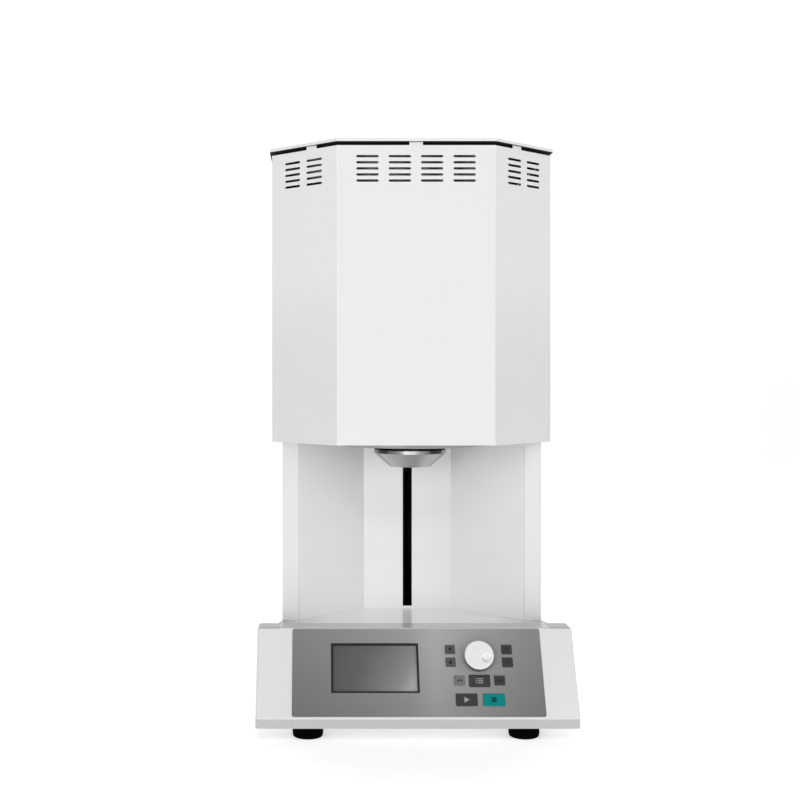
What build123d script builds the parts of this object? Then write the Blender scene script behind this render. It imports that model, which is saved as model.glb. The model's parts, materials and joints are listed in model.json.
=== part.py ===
from build123d import *
import math
import os

# ---------------------------------------------------------------------------
# Dental lab furnace, millimetres. +X right, +Y to the back, +Z up.
# Origin: bottom centre of the whole furnace (between the feet, on the table).
# ---------------------------------------------------------------------------

# --- driving dimensions ---
SHEET = 1.5              # sheet steel of the covers
FOOT_H = 18.4            # rubber foot height
FOOT_R = 19.6
FOOT_X, FOOT_Y = 136.8, 178.0

CONSOLE_HW = 202.0       # half width of the console
CONSOLE_FRONT = -215.0
CONSOLE_SHOULDER = -127.0
LIP_TOP = 30.8
LIP_IN = 2.2             # how far the lip leans back at its lower edge
SLOPE_TOP_Y = -157.0
DECK_Z = 132.6

COL_HW = 171.0           # half width of the rear column
COL_FRONT = -107.0       # face of the two strips beside the recess
STRIP_IN = 150.0         # inner edge of a strip
WALL_Y = -21.0           # face of the recessed back wall
WALL_HW = 60.4           # half width of the recessed back wall
SLOT_HW = 6.25           # half width of the lift slot
SLOT_Z0, SLOT_Z1 = 135.8, 356.0
BACK_Y = 211.0           # outer face of the back sheets

HOUSE_Z0, HOUSE_Z1 = 367.8, 747.4
HOUSE_HW = 185.0
HOUSE_FRONT = -183.0
HOUSE_FACE_HW = 100.0
HOUSE_SIDE_Y = -98.0
LID_Z0, LID_Z1 = 751.2, 755.8
LID_OVER = 3.0

AXIS_Y = -75.0           # lift and muffle axis
MOUTH_R = 45.0           # muffle mouth
FLANGE_R, FLANGE_Z0 = 100.0, 362.9
CAN_R = 95.5
TABLE_R, TABLE_Z0, TABLE_Z1 = 48.3, 334.0, 357.0
LIFT_TRAVEL = 190.0

SCREW_Y = 45.0           # lead screw and guide rods behind the back wall
SCREW_R = 6.0
ROD_R, ROD_X = 5.0, 30.0

PARTS = {}


def box(x0, x1, y0, y1, z0, z1):
    return Pos((x0 + x1) / 2, (y0 + y1) / 2, (z0 + z1) / 2) * Box(x1 - x0, y1 - y0, z1 - z0)


def poly(points):
    return make_face(Polyline(*points, close=True))


def prism(points, z0, z1):
    return Pos(0, 0, z0) * extrude(poly(points), amount=z1 - z0)


def prism_x(points, x0, x1):
    # profile of (y, z) points, run along X
    return Pos(x0, 0, 0) * extrude(Plane.YZ * poly(points), amount=x1 - x0)


def cyl(x, y, z0, z1, r):
    return Pos(x, y, (z0 + z1) / 2) * Cylinder(r, z1 - z0)


def ring(x, y, z0, z1, ro, ri):
    return cyl(x, y, z0, z1, ro) - cyl(x, y, z0 - 1, z1 + 1, ri)


def cyl_y(x, z, y0, y1, r):
    return Pos(x, (y0 + y1) / 2, z) * Rot(90, 0, 0) * Cylinder(r, y1 - y0)


def turned(points, x, y):
    # (r, z) profile turned about a vertical axis through x, y
    return Pos(x, y, 0) * revolve(Plane.XZ * poly(points), Axis.Z)


def put(name, *shapes):
    solids = []
    for s in shapes:
        solids.extend(s.solids())
    PARTS[name] = solids[0] if len(solids) == 1 else Compound(children=solids)


def edges_at(shape, test):
    return ShapeList([e for e in shape.edges() if test(e)])


# ---------------------------------------------------------------------------
# Control face frame: u runs right, v runs up the slope, n points out
# ---------------------------------------------------------------------------
SLOPE_DY = SLOPE_TOP_Y - CONSOLE_FRONT
SLOPE_DZ = DECK_Z - LIP_TOP
SLOPE_LEN = math.hypot(SLOPE_DY, SLOPE_DZ)
NY, NZ = -SLOPE_DZ / SLOPE_LEN, SLOPE_DY / SLOPE_LEN
SLOPE_MID = (0, (CONSOLE_FRONT + SLOPE_TOP_Y) / 2, (LIP_TOP + DECK_Z) / 2)
FACE = Plane(origin=SLOPE_MID, x_dir=(1, 0, 0), z_dir=(0, NY, NZ))


def on_face(sketch, n0, n1):
    # sketch in (u, v), thickened from n0 to n1 along the outward normal
    return extrude(FACE.offset(n0) * sketch, amount=n1 - n0)


def at(u, v, sketch):
    return Pos(u, v) * sketch


# control face layout, (u, v) centres and sizes
OVERLAY = (1.4, 0.5, 316.0, 112.8)
LCD = (-52.0, 6.0, 111.0, 64.0)
BEZEL_SIDE, BEZEL_TOP, BEZEL_LOW = 2.6, 2.8, 2.2
KNOB_UV, KNOB_R, KNOB_N = (79.3, 19.5), 18.4, 12.0
KEYS = {
    "key_up_left": (43.7, 29.5, 12.4, 11.8),
    "key_down_left": (43.7, 13.1, 12.2, 11.8),
    "key_up_right": (115.6, 29.5, 13.0, 12.2),
    "key_down_right": (115.8, 12.9, 13.2, 12.4),
    "key_minus": (53.8, -10.3, 13.0, 12.2),
    "key_program": (79.0, -10.8, 26.6, 15.6),
    "key_plus": (104.2, -10.3, 13.2, 12.2),
    "key_start": (61.5, -34.7, 26.8, 15.6),
    "key_stop": (95.5, -34.7, 27.2, 15.6),
}
KEY_TRAVEL = 0.8
OVERLAY_T = 0.6
KEY_PROUD = 1.6          # top of a key above the sheet

# ---------------------------------------------------------------------------
# Base plate
# ---------------------------------------------------------------------------
plate = prism(
    [(-200.2, -211.1), (200.2, -211.1), (200.2, CONSOLE_SHOULDER - 1.6),
     (169.4, CONSOLE_SHOULDER - 1.6), (169.4, BACK_Y - 1.6), (-169.4, BACK_Y - 1.6),
     (-169.4, CONSOLE_SHOULDER - 1.6), (-200.2, CONSOLE_SHOULDER - 1.6)],
    FOOT_H, FOOT_H + 2.0)
for x in (-60, -30, 0, 30, 60):
    plate -= Pos(x, -60, FOOT_H) * extrude(SlotOverall(60, 5, rotation=90), amount=12, both=True)
foot_spots = [(sx * FOOT_X, sy * FOOT_Y) for sx in (-1, 1) for sy in (-1, 1)]
for x, y in foot_spots:
    plate -= cyl(x, y, 10, 30, 2.7)
put("base_plate", plate)

# ---------------------------------------------------------------------------
# Console shell: lip, slope, shoulders, deck
# ---------------------------------------------------------------------------
outer = prism_x(
    [(CONSOLE_FRONT + LIP_IN, FOOT_H), (CONSOLE_FRONT, LIP_TOP),
     (SLOPE_TOP_Y, DECK_Z), (CONSOLE_SHOULDER, DECK_Z), (CONSOLE_SHOULDER, FOOT_H)],
    -CONSOLE_HW, CONSOLE_HW)
slope_side = edges_at(outer, lambda e: abs(abs(e.center().X) - CONSOLE_HW) < 0.01
                      and e.center().Z > FOOT_H + 2 and e.center().Y < CONSOLE_SHOULDER - 5)
outer = fillet(slope_side, 4.5)
top_fold = edges_at(outer, lambda e: abs(e.center().X) < 0.01 and abs(e.center().Y - SLOPE_TOP_Y) < 0.01
                    and abs(e.center().Z - DECK_Z) < 0.01)
outer = fillet(top_fold, 2.0)
lip_fold = edges_at(outer, lambda e: abs(e.center().X) < 0.01 and abs(e.center().Y - CONSOLE_FRONT) < 0.01
                    and abs(e.center().Z - LIP_TOP) < 0.01)
outer = fillet(lip_fold, 5.0)
t = SHEET
inner = prism_x(
    [(CONSOLE_FRONT + LIP_IN + t + 0.2, FOOT_H - 1),
     (CONSOLE_FRONT + t + 0.1, LIP_TOP - 0.4), (SLOPE_TOP_Y + 0.9, DECK_Z - t),
     (CONSOLE_SHOULDER - t, DECK_Z - t), (CONSOLE_SHOULDER - t, FOOT_H - 1)],
    -CONSOLE_HW + t, CONSOLE_HW - t)
inner_side = edges_at(inner, lambda e: abs(abs(e.center().X) - (CONSOLE_HW - t)) < 0.01
                      and e.center().Z > FOOT_H + 2 and e.center().Y < CONSOLE_SHOULDER - 5)
inner = fillet(inner_side, 3.0)
console = outer - inner
# way through to the rear body
console -= box(-169.5, 169.5, CONSOLE_SHOULDER - 3, CONSOLE_SHOULDER + 1, FOOT_H - 1, DECK_Z - t)
console += prism(
    [(-176, CONSOLE_SHOULDER), (176, CONSOLE_SHOULDER), (COL_HW, COL_FRONT),
     (STRIP_IN, COL_FRONT), (WALL_HW, WALL_Y), (-WALL_HW, WALL_Y),
     (-STRIP_IN, COL_FRONT), (-COL_HW, COL_FRONT)], DECK_Z - t, DECK_Z)
# openings in the control face
console -= on_face(at(LCD[0], LCD[1], RectangleRounded(LCD[2] + 3, LCD[3] + 3, 1.5)), -4, 2)
for u, v, w, h in KEYS.values():
    console -= on_face(at(u, v, Rectangle(w - 3.0, h - 3.0)), -4, 2)
console -= on_face(at(KNOB_UV[0], KNOB_UV[1], Circle(5.0)), -4, 2)
put("console_shell", console)

# ---------------------------------------------------------------------------
# Column front: strips, wings, back wall with the lift slot
# ---------------------------------------------------------------------------
k = SHEET * math.tan(math.radians(22.5))
col_z0, col_z1 = DECK_Z, HOUSE_Z0
front = prism(
    [(-COL_HW, COL_FRONT), (-STRIP_IN, COL_FRONT), (-WALL_HW, WALL_Y), (WALL_HW, WALL_Y),
     (STRIP_IN, COL_FRONT), (COL_HW, COL_FRONT), (COL_HW, COL_FRONT + t),
     (STRIP_IN + k, COL_FRONT + t), (WALL_HW + k, WALL_Y + t), (-WALL_HW - k, WALL_Y + t),
     (-STRIP_IN - k, COL_FRONT + t), (-COL_HW, COL_FRONT + t)], col_z0, col_z1)
front -= box(-SLOT_HW, SLOT_HW, WALL_Y - 3, WALL_Y + 4, SLOT_Z0, SLOT_Z1)
front -= cyl(0, AXIS_Y, FLANGE_Z0 - 0.3, HOUSE_Z0 + 1, FLANGE_R + 0.4)
put("column_front", front)

# ---------------------------------------------------------------------------
# Side and rear covers of the rear body
# ---------------------------------------------------------------------------
for name, s in (("left_side_cover", -1), ("right_side_cover", 1)):
    panel = box(COL_HW - t, COL_HW, COL_FRONT + t, BACK_Y - t, FOOT_H, HOUSE_Z0)
    panel += box(COL_HW - t, COL_HW, CONSOLE_SHOULDER, COL_FRONT + t, FOOT_H, DECK_Z - t)
    vents = Sketch()
    for j in range(4):
        for i in range(6):
            vents += Pos(70 + 15.0 * i, 70 + 34.0 * j) * SlotOverall(26, 4, rotation=90)
    panel -= Pos(COL_HW - 3, 0, 0) * extrude(Plane.YZ * vents, amount=6)
    if s < 0:
        panel = mirror(panel, Plane.YZ)
    put(name, panel)

FAN = (98.0, 95.0)           # x, z of the cooling fan
INLET = (-118.0, 62.0)
SWITCH = (-118.0, 112.0)
rear = box(-COL_HW, COL_HW, BACK_Y - t, BACK_Y, FOOT_H, HOUSE_Z0)
rear -= cyl_y(FAN[0], FAN[1], BACK_Y - 5, BACK_Y + 5, 37.5)
for dx in (-35.75, 35.75):
    for dz in (-35.75, 35.75):
        rear -= cyl_y(FAN[0] + dx, FAN[1] + dz, BACK_Y - 5, BACK_Y + 5, 2.2)
rear -= box(INLET[0] - 14.1, INLET[0] + 14.1, BACK_Y - 5, BACK_Y + 5, INLET[1] - 11.1, INLET[1] + 11.1)
rear -= box(SWITCH[0] - 13.1, SWITCH[0] + 13.1, BACK_Y - 5, BACK_Y + 5, SWITCH[1] - 9.6, SWITCH[1] + 9.6)
vents = Sketch()
for j in range(2):
    for i in range(11):
        vents += Pos(-100 + 20.0 * i, 250 + 50.0 * j) * SlotOverall(36, 5, rotation=90)
rear -= Pos(0, BACK_Y + 4, 0) * extrude(Plane.XZ * vents, amount=8)
cover_screw_spots = [(sx * 160.0, z) for sx in (-1, 1) for z in (32.0, 190.0, 352.0)]
for x, z in cover_screw_spots:
    rear -= cyl_y(x, z, BACK_Y - 5, BACK_Y + 5, 1.6)
put("rear_cover", rear)

# ---------------------------------------------------------------------------
# Upper housing: folded sheet with vents and lid tabs
# ---------------------------------------------------------------------------
back_in = BACK_Y - t


def house_outline(o, y_back):
    # outline moved outward by o (inward when negative)
    k = o * math.tan(math.radians(22.5))
    return [(-HOUSE_HW - o, y_back), (-HOUSE_HW - o, HOUSE_SIDE_Y - k),
            (-HOUSE_FACE_HW - k, HOUSE_FRONT - o), (HOUSE_FACE_HW + k, HOUSE_FRONT - o),
            (HOUSE_HW + o, HOUSE_SIDE_Y - k), (HOUSE_HW + o, y_back)]


skin = prism(house_outline(0, back_in), HOUSE_Z0, HOUSE_Z1)
folds = edges_at(skin, lambda e: abs(e.center().Z - (HOUSE_Z0 + HOUSE_Z1) / 2) < 0.1 and e.center().Y < 0)
skin = fillet(folds, 1.8)
skin -= prism(house_outline(-t, back_in + 1), HOUSE_Z0 - 1, HOUSE_Z1 + 1)
VENT_W, VENT_H, VENT_PITCH, VENT_Z = 28.0, 3.0, 7.7, 733.4
rows = [VENT_Z - VENT_PITCH * i for i in range(5)]
slots = Sketch()
for x in (-61.5, -20.6, 20.2, 61.2):
    for z in rows:
        slots += Pos(x, z) * SlotOverall(VENT_W, VENT_H)
skin -= Pos(0, HOUSE_FRONT + 4, 0) * extrude(Plane.XZ * slots, amount=8)
CHAMFER = math.hypot(HOUSE_HW - HOUSE_FACE_HW, HOUSE_SIDE_Y - HOUSE_FRONT)
for s in (-1, 1):
    mid = (s * (HOUSE_HW + HOUSE_FACE_HW) / 2, (HOUSE_FRONT + HOUSE_SIDE_Y) / 2, 0)
    facing = Plane(origin=mid, x_dir=(1, s, 0), z_dir=(s, -1, 0))
    slots = Sketch()
    for a in (41.0, 81.0):
        # distance from the front corner along the chamfer face
        along = s * (a - CHAMFER / 2)
        for z in rows:
            slots += Pos(along, z) * SlotOverall(VENT_W, VENT_H)
    skin -= extrude(facing.offset(-4) * slots, amount=8)
# lid tabs standing on the top edge of the sheet
TAB_Z = LID_Z1 - 4.0
tabs = [box(-8.5, 8.5, HOUSE_FRONT, HOUSE_FRONT + t, HOUSE_Z1, TAB_Z)]
for s in (-1, 1):
    mid = (s * (HOUSE_HW + HOUSE_FACE_HW) / 2, (HOUSE_FRONT + HOUSE_SIDE_Y) / 2, 0)
    facing = Plane(origin=mid, x_dir=(1, s, 0), z_dir=(s, -1, 0))
    a = s * (46.0 - CHAMFER / 2)
    tabs.append(extrude(facing.offset(-t) * (Pos(a, (HOUSE_Z1 + TAB_Z) / 2) * Rectangle(18, TAB_Z - HOUSE_Z1)), amount=t))
    for y in (-20.0, 140.0):
        tabs.append(box(s * HOUSE_HW - (t if s > 0 else 0), s * HOUSE_HW + (t if s < 0 else 0), y - 10, y + 10, HOUSE_Z1, TAB_Z))
for tab in tabs:
    skin += tab
put("housing_shell", skin)

hback = box(-HOUSE_HW, HOUSE_HW, back_in, BACK_Y, HOUSE_Z0, HOUSE_Z1)
slots = Sketch()
for x in (-120, -80, -40, 0, 40, 80, 120):
    for z in rows:
        slots += Pos(x, z) * SlotOverall(VENT_W, VENT_H)
hback -= Pos(0, BACK_Y + 4, 0) * extrude(Plane.XZ * slots, amount=8)
house_screw_spots = [(sx * 175.0, z) for sx in (-1, 1) for z in (385.0, 560.0, 735.0)]
for x, z in house_screw_spots:
    hback -= cyl_y(x, z, BACK_Y - 5, BACK_Y + 5, 1.6)
put("housing_rear_panel", hback)

FLOOR_Z1 = HOUSE_Z0 + 2.0
floor = prism(house_outline(-t - 0.1, back_in), HOUSE_Z0, FLOOR_Z1) - cyl(0, AXIS_Y, HOUSE_Z0 - 1, FLOOR_Z1 + 1, MOUTH_R)
for x in (-90.0, 90.0):
    floor -= cyl(x, 120.0, HOUSE_Z0 - 1, FLOOR_Z1 + 1, 14.0)
put("housing_floor", floor)

# lid: flat plate with a rim, standing on the tabs; a ring under it closes the gap further in
RIM_Z = LID_Z1 - 4.0
RING_IN = -7.0
lid = prism(house_outline(LID_OVER, BACK_Y), RIM_Z, LID_Z1)
folds = edges_at(lid, lambda e: abs(e.center().Z - LID_Z1) < 0.01 and e.center().Y < BACK_Y - 1)
lid = chamfer(folds, 0.6)
lid += (prism(house_outline(RING_IN, BACK_Y - 8.0), HOUSE_Z1 - 4.0, RIM_Z)
        - prism(house_outline(RING_IN - SHEET, BACK_Y - 8.0 - SHEET), HOUSE_Z1 - 5.0, RIM_Z + 1.0))
lid -= prism(house_outline(RING_IN - SHEET, BACK_Y - 8.0 - SHEET), HOUSE_Z1 - 5.0, LID_Z1 - 2.0)
lid_screw_spots = [(sx * 150.0, y) for sx in (-1, 1) for y in (-60.0, 180.0)]
for x, y in lid_screw_spots:
    lid -= cyl(x, y, LID_Z0 - 1, LID_Z1 + 1, 1.6)
put("lid_plate", lid)

# ---------------------------------------------------------------------------
# Muffle: flange, jacket, insulation, heating elements
# ---------------------------------------------------------------------------
flange = turned([(MOUTH_R, FLANGE_Z0), (FLANGE_R - 1.5, FLANGE_Z0), (FLANGE_R, FLANGE_Z0 + 1.5),
                 (FLANGE_R, HOUSE_Z0), (MOUTH_R, HOUSE_Z0)], 0, AXIS_Y)
put("muffle_flange", flange)
INS_Z0 = FLOOR_Z1
CH_Z0, CH_Z1, INS_Z1 = 424.0, 566.0, 640.0
CH_R = 60.0
can = ring(0, AXIS_Y, INS_Z0, INS_Z1, CAN_R, CAN_R - 1.0)
can += ring(0, AXIS_Y, INS_Z1, INS_Z1 + 1.0, CAN_R, 74.0)
put("muffle_can", can)
ins_r = CAN_R - 1.0
put("lower_insulation", ring(0, AXIS_Y, INS_Z0, CH_Z0, ins_r, MOUTH_R))
put("chamber_insulation", ring(0, AXIS_Y, CH_Z0, CH_Z1, ins_r, CH_R))
roof = cyl(0, AXIS_Y, CH_Z1, INS_Z1, ins_r)
EL_R, LEG, HOT_R, END_R = 50.0, 15.0, 3.0, 6.0
elements, clamps = [], []
roof -= cyl(0, AXIS_Y, CH_Z1 - 1, INS_Z1 + 1, 4.3)
for q in range(4):
    ang = 45 + 90 * q
    turn = Pos(0, AXIS_Y, 0) * Rot(0, 0, ang)
    u_path = turn * (Pos(EL_R, 0, 440.0 + LEG) * (Plane.YZ * (CenterArc((0, 0), LEG, 180, 180))))
    bend = sweep(Plane(origin=u_path @ 0, z_dir=u_path % 0) * Circle(HOT_R), path=u_path)
    one = bend
    for s in (-1, 1):
        one += turn * cyl(EL_R, s * LEG, 440.0 + LEG, CH_Z1 + 6.0, HOT_R)
        one += turn * cyl(EL_R, s * LEG, CH_Z1 + 6.0, INS_Z1 + 34.0, END_R)
        roof -= turn * cyl(EL_R, s * LEG, CH_Z1 - 1, INS_Z1 + 1, END_R + 0.4)
        block = box(EL_R - 11, EL_R + 11, s * LEG - 10.5, s * LEG + 10.5, INS_Z1 + 12, INS_Z1 + 26)
        block -= cyl(EL_R, s * LEG, INS_Z1, INS_Z1 + 40, END_R)
        clamps.append(turn * block)
    elements.append(one)
put("upper_insulation", roof)
put("heating_elements", *elements)
put("element_clamps", *clamps)
probe = cyl(0, AXIS_Y, 540.0, INS_Z1 + 24.0, 4.0) + cyl(0, AXIS_Y, INS_Z1 + 20.0, INS_Z1 + 42.0, 13.0)
probe += box(-16, 16, AXIS_Y - 10, AXIS_Y + 10, INS_Z1 + 42.0, INS_Z1 + 48.0)
put("thermocouple", probe)

# ---------------------------------------------------------------------------
# Lift: table, plug, dish, arm, carriage
# ---------------------------------------------------------------------------
table = turned([(0, TABLE_Z0), (27.6, TABLE_Z0), (28.4, TABLE_Z0 + 0.8), (46.9, 351.2), (47.8, 352.1),
                (TABLE_R, 352.6), (TABLE_R, TABLE_Z1 - 0.7), (TABLE_R - 0.7, TABLE_Z1), (0, TABLE_Z1)], 0, AXIS_Y)
ARM_Z0, ARM_Z1, ARM_HW = TABLE_Z0, TABLE_Z0 + 12.7, 5.0
table -= box(-ARM_HW - 0.05, ARM_HW + 0.05, AXIS_Y - 12, AXIS_Y + 60, ARM_Z0 - 2, ARM_Z1)
put("lift_table", table)
put("seal_ring", ring(0, AXIS_Y, TABLE_Z1, FLANGE_Z0 - 0.5, 47.2, 42.5))
pedestal = turned([(0, TABLE_Z1), (42.4, TABLE_Z1), (42.4, 412.0), (36.0, 418.0), (36.0, 442.0), (0, 442.0)], 0, AXIS_Y)
put("pedestal_block", pedestal)
DISH_Z0, DISH_Z1 = 442.0, 464.0
dish = turned([(0, DISH_Z0), (30.0, DISH_Z0), (33.0, DISH_Z0 + 3), (33.0, DISH_Z1), (29.5, DISH_Z1),
               (29.5, DISH_Z0 + 4), (0, DISH_Z0 + 4)], 0, AXIS_Y)
put("firing_tray", dish)
CAR_Z0, CAR_Z1 = 322.0, 355.0
arm = box(-ARM_HW, ARM_HW, AXIS_Y - 11.5, 33.0, ARM_Z0, ARM_Z1)
arm += box(-22.0, 22.0, 24.0, 33.0, CAR_Z0, CAR_Z1)
put("lift_arm", arm)
carriage = box(-46, 46, 33.0, 60.0, CAR_Z0, CAR_Z1)
carriage -= cyl(0, SCREW_Y, 300, 400, 9.0)
for s in (-1, 1):
    carriage -= cyl(s * ROD_X, SCREW_Y, 300, 400, 8.0)
put("lift_carriage", carriage)
nut = ring(0, SCREW_Y, CAR_Z0, CAR_Z1, 9.0, SCREW_R + 0.06) + ring(0, SCREW_Y, CAR_Z0 - 5, CAR_Z0, 11.5, SCREW_R + 0.06)
put("lead_nut", nut)
put("guide_bushes", *[ring(s * ROD_X, SCREW_Y, CAR_Z0, CAR_Z1, 8.0, ROD_R + 0.05) for s in (-1, 1)])

# drive: screw, coupling, motor, rods, frame
MOT_Z0, MOT_Z1 = FOOT_H + 2.0, 60.8
SHELF_Z0, SHELF_Z1 = 96.0, 106.0
HEAD_Z0, HEAD_Z1 = 357.2, 366.4
screw = cyl(0, SCREW_Y, 107.0, 356.0, SCREW_R) + cyl(0, SCREW_Y, 84.0, 366.0, 4.0)
put("lead_screw", screw)
shaft = cyl(0, SCREW_Y, 66.0, 92.0, 9.5)
shaft -= cyl(0, SCREW_Y, 84.0, 93.0, 4.0)
shaft -= cyl(0, SCREW_Y, 65.0, 84.0, 2.5)
put("shaft_coupling", shaft)
motor = box(-21.1, 21.1, SCREW_Y - 21.1, SCREW_Y + 21.1, MOT_Z0, MOT_Z1)
motor = chamfer(motor.edges().filter_by(Axis.Z), 4.0)
motor += cyl(0, SCREW_Y, MOT_Z1, MOT_Z1 + 2, 11.0)
put("stepper_motor", motor)
put("motor_shaft", cyl(0, SCREW_Y, MOT_Z1 + 2.2, 84.0, 2.5))
put("screw_bearings",
    ring(0, SCREW_Y, SHELF_Z0 + 2, SHELF_Z1, 11.0, 4.05),
    ring(0, SCREW_Y, HEAD_Z0, HEAD_Z1 - 2, 11.0, 4.05))
put("guide_rods", *[cyl(s * ROD_X, SCREW_Y, SHELF_Z0, HEAD_Z1, ROD_R) for s in (-1, 1)])
frame = box(-52, 52, 67.0, 73.0, FOOT_H + 2.0, HEAD_Z1)
frame += box(-52, 52, 26.0, 67.0, SHELF_Z0, SHELF_Z1)
frame += box(-52, 52, 34.0, 67.0, HEAD_Z0, HEAD_Z1)
frame -= cyl(0, SCREW_Y, SHELF_Z0 + 2, SHELF_Z1 + 1, 11.0)
frame -= cyl(0, SCREW_Y, SHELF_Z0 - 1, SHELF_Z1 + 1, 6.0)
frame -= cyl(0, SCREW_Y, HEAD_Z0 - 1, HEAD_Z1 - 2, 11.0)
frame -= cyl(0, SCREW_Y, HEAD_Z0 - 1, HEAD_Z1 + 1, 6.0)
for s in (-1, 1):
    frame -= cyl(s * ROD_X, SCREW_Y, SHELF_Z0 - 1, SHELF_Z1 + 1, ROD_R)
    frame -= cyl(s * ROD_X, SCREW_Y, HEAD_Z0 - 1, HEAD_Z1 + 1, ROD_R)
frame += box(-52, 52, 73.0, 93.0, FOOT_H + 2.0, FOOT_H + 8.0)
put("lift_frame", frame)

# ---------------------------------------------------------------------------
# Control panel
# ---------------------------------------------------------------------------
overlay = on_face(at(OVERLAY[0], OVERLAY[1], RectangleRounded(OVERLAY[2], OVERLAY[3], 3.0)), 0, OVERLAY_T)
overlay -= on_face(at(LCD[0], LCD[1], Rectangle(LCD[2], LCD[3])), -1, 2)
for u, v, w, h in KEYS.values():
    overlay -= on_face(at(u, v, Rectangle(w + 0.3, h + 0.3)), -1, 2)
overlay -= on_face(at(KNOB_UV[0], KNOB_UV[1], Circle(8.0)), -1, 2)
put("panel_overlay", overlay)

# screen: a pane set back inside a dark bezel
pane_w, pane_h = LCD[2] - 2 * BEZEL_SIDE, LCD[3] - BEZEL_TOP - BEZEL_LOW
pane_v = LCD[1] + (BEZEL_LOW - BEZEL_TOP) / 2
pane = on_face(at(LCD[0], pane_v, Rectangle(pane_w, pane_h)), -2.8, -1.6)
put("lcd_window", pane)
module = on_face(at(LCD[0], LCD[1], Rectangle(LCD[2] + 2, LCD[3] + 2)), -6.0, -1.5)
module += on_face(at(LCD[0], LCD[1], Rectangle(LCD[2] - 0.2, LCD[3] - 0.2)), -1.5, 0.2)
module -= on_face(at(LCD[0], pane_v, Rectangle(pane_w + 0.06, pane_h + 0.06)), -2.8, 2)
module += on_face(at(LCD[0], LCD[1], Rectangle(LCD[2] + 16, LCD[3] + 14)), -9.0, -6.0)
put("lcd_module", module)

for name, (u, v, w, h) in KEYS.items():
    cap = on_face(at(u, v, RectangleRounded(w, h, 0.9)), 0.9, KEY_PROUD)
    cap = chamfer(edges_at(cap, lambda e: abs((e.center() - FACE.origin).dot(FACE.z_dir) - KEY_PROUD) < 0.01), 0.3)
    cap += on_face(at(u, v, Rectangle(w - 4.0, h - 4.0)), -4.4, 0.9)
    put(name, cap)

board = on_face(at(79.6, -2.0, Rectangle(94, 96)), -8.8, -7.2)
for u, v, w, h in KEYS.values():
    board += on_face(at(u, v, Rectangle(6, 6)), -7.2, -5.6)
board -= on_face(at(KNOB_UV[0], KNOB_UV[1], Circle(7.0)), -12, 2)
put("keypad_board", board)

ku, kv = KNOB_UV
knob = on_face(at(ku, kv, Circle(KNOB_R)), 1.4, KNOB_N)
knob = fillet(edges_at(knob, lambda e: abs((e.center() - FACE.origin).dot(FACE.z_dir) - KNOB_N) < 0.01), 1.4)
# finger dimple: a shallow pocket with a dished floor
knob -= on_face(at(ku + 8.9, kv - 3.9, Circle(5.2)), KNOB_N - 0.7, KNOB_N + 1.0)
knob -= FACE.offset(KNOB_N + 10.6) * Pos(ku + 8.9, kv - 3.9) * Sphere(12.4)
knob -= on_face(at(ku, kv, Circle(KNOB_R - 2.2)), 1.0, 4.5)
knob += on_face(at(ku, kv, Circle(6.0)), 1.4, 6.0)
knob -= on_face(at(ku, kv, Circle(3.0)), -4, 9.4)
put("knob", knob)
put("encoder_shaft", on_face(at(ku, kv, Circle(3.0)), -9.0, 9.4))
enc = on_face(at(ku, kv, Circle(4.8)), -6.0, 0.8) + on_face(at(ku, kv, Circle(6.5)), -9.5, -6.0)
enc += on_face(at(ku, kv, Rectangle(13, 12)), -16.0, -9.5)
enc -= on_face(at(ku, kv, Circle(3.06)), -9.2, 3.0)
put("encoder_body", enc)

pcb = box(-150, 20, -190, -100, 30.0, 31.6)
for x, y, w, d, h in ((-120, -150, 30, 30, 14), (-80, -160, 22, 22, 6), (-30, -130, 40, 24, 20), (0, -165, 18, 30, 10)):
    pcb += box(x - w / 2, x + w / 2, y - d / 2, y + d / 2, 31.6, 31.6 + h)
for x in (-145, 15):
    for y in (-185, -105):
        pcb += cyl(x, y, FOOT_H + 2.0, 30.0, 3.0)
put("control_board", pcb)

# ---------------------------------------------------------------------------
# Power and cooling
# ---------------------------------------------------------------------------
core = box(-150, -66, 30, 150, 34.0, 130.0)
coil = box(-146, -70, 52, 128, 26.8, 137.2)
trans = core + coil + box(-158, -58, 26, 154, FOOT_H + 2.0, 34.0)
trans -= box(-160, -150.5, 40, 140, 26.0, 40.0)
put("transformer", trans)

ix, iz = INLET
inlet = box(ix - 14, ix + 14, BACK_Y - 24, BACK_Y, iz - 11, iz + 11)
inlet += box(ix - 24, ix + 24, BACK_Y, BACK_Y + 3.0, iz - 14, iz + 14)
inlet -= box(ix - 12, ix + 12, BACK_Y - 17, BACK_Y + 5, iz - 8.5, iz + 8.5)
for dx, dz in ((-7, -4.5), (7, -4.5), (0, -1.5)):
    inlet += box(ix + dx - 1, ix + dx + 1, BACK_Y - 20, BACK_Y - 2, iz + dz - 2, iz + dz + 2)
for dx in (-20, 20):
    inlet -= cyl_y(ix + dx, iz, BACK_Y - 1, BACK_Y + 4, 1.6)
put("power_inlet", inlet)

sx_, sz_ = SWITCH
sw = box(sx_ - 13, sx_ + 13, BACK_Y - 20, BACK_Y, sz_ - 9.5, sz_ + 9.5)
sw += box(sx_ - 15.5, sx_ + 15.5, BACK_Y, BACK_Y + 2.0, sz_ - 12, sz_ + 12)
sw -= box(sx_ - 11, sx_ + 11, BACK_Y - 13, BACK_Y + 3, sz_ - 8, sz_ + 8)
put("switch_body", sw)
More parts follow.
